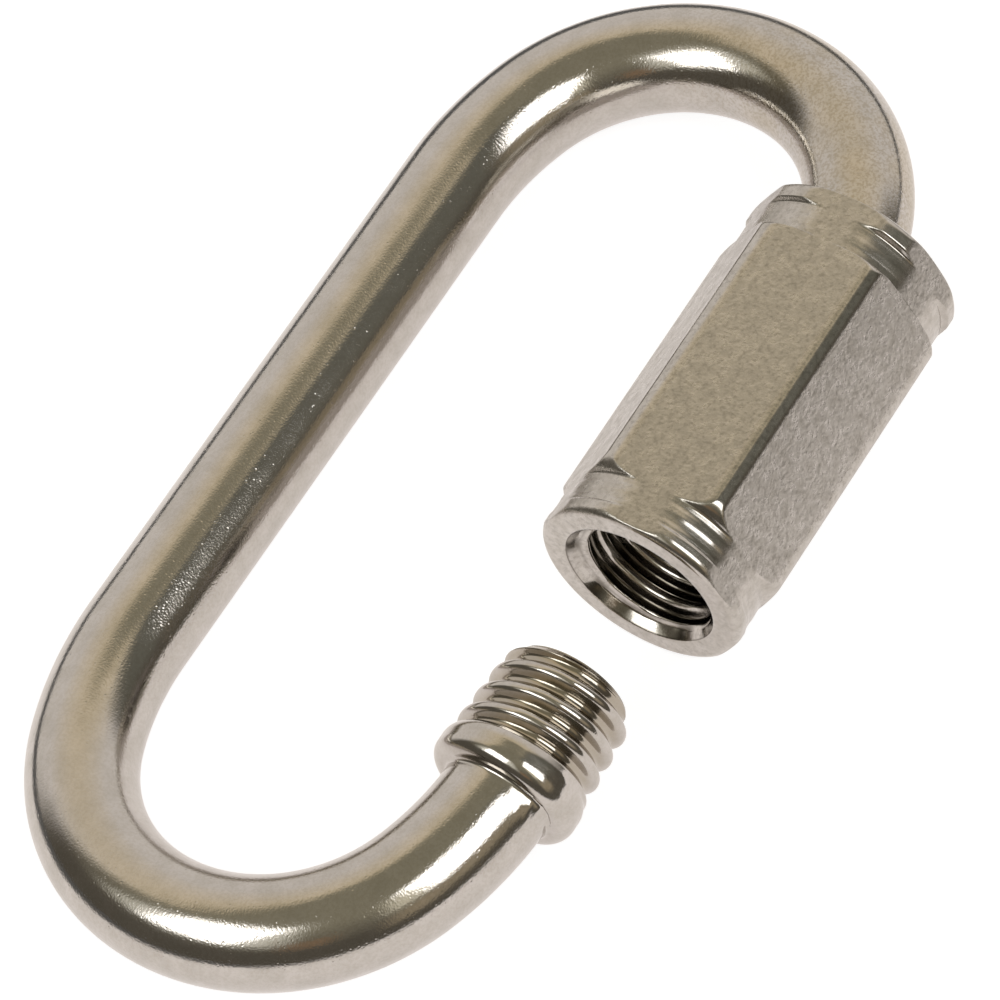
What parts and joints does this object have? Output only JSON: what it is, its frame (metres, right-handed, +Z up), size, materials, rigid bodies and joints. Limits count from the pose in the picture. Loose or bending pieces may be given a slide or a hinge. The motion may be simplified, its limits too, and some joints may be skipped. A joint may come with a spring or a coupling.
{
  "type": "chain quick link",
  "caption": "Oval link of bent round bar with a gap in one long side, closed by a hexagonal sleeve nut that screws over a collared stud; joins chain, rope or rings.",
  "frame": {"origin": "middle of the link's footprint, on the surface that it lies on", "axes": "+X along the long sides towards the end where the open nut sits, +Y towards the plain side, +Z up"},
  "size_m": [0.0654, 0.0324, 0.0115],
  "materials": {
    "bar_steel": "polished bright stainless steel with fine grain",
    "nut_steel": "tumbled satin stainless steel with turned ends"
  },
  "bodies": {
    "link": {"link_body": "bar_steel"},
    "nut": {"sleeve_nut": "nut_steel"}
  },
  "joints": [
    {"name": "nut_close", "type": "slide", "parent": "link", "child": "nut", "axis": [-1, 0, 0], "range_m": [0, 0.0116]}
  ]
}
